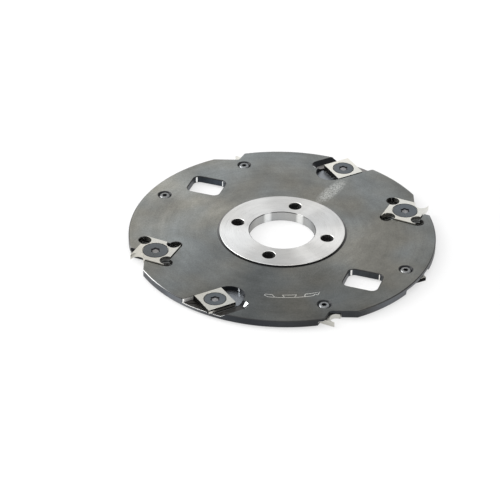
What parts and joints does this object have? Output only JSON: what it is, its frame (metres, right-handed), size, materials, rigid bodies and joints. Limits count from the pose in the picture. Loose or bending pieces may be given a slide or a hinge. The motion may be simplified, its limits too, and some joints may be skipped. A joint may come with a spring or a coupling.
{
  "type": "grooving cutter",
  "caption": "Flat steel disc cutter for grooves in wood, with a central bore, square knives and hooked spurs screwed into seats in both faces at the rim.",
  "frame": {"origin": "on the bore's axis, at the lower hub face that the cutter rests on", "axes": "+Z along the bore's axis, away from the surface it lies on; +X to the right and +Y away from the picture's camera; seen from +Z it turns counter-clockwise"},
  "size_m": [0.1472, 0.1472, 0.005],
  "materials": {
    "blackened_steel": "turned and blackened, satin; the hub faces and the rim are ground bright",
    "ground_carbide": "fine ground",
    "blued_screw_steel": "turned and blackened, with fine tool rings"
  },
  "bodies": {
    "root": {"cutter_body": "blackened_steel", "upper_knife_1": "ground_carbide", "upper_knife_1_screw": "blued_screw_steel", "upper_knife_2": "ground_carbide", "upper_knife_2_screw": "blued_screw_steel", "upper_spur_1": "ground_carbide", "upper_spur_1_screw": "blued_screw_steel", "upper_spur_2": "ground_carbide", "upper_spur_2_screw": "blued_screw_steel", "lower_knife_1": "ground_carbide", "lower_knife_1_screw": "blued_screw_steel", "lower_knife_2": "ground_carbide", "lower_knife_2_screw": "blued_screw_steel", "lower_spur_1": "ground_carbide", "lower_spur_1_screw": "blued_screw_steel", "lower_spur_2": "ground_carbide", "lower_spur_2_screw": "blued_screw_steel"}
  },
  "joints": []
}
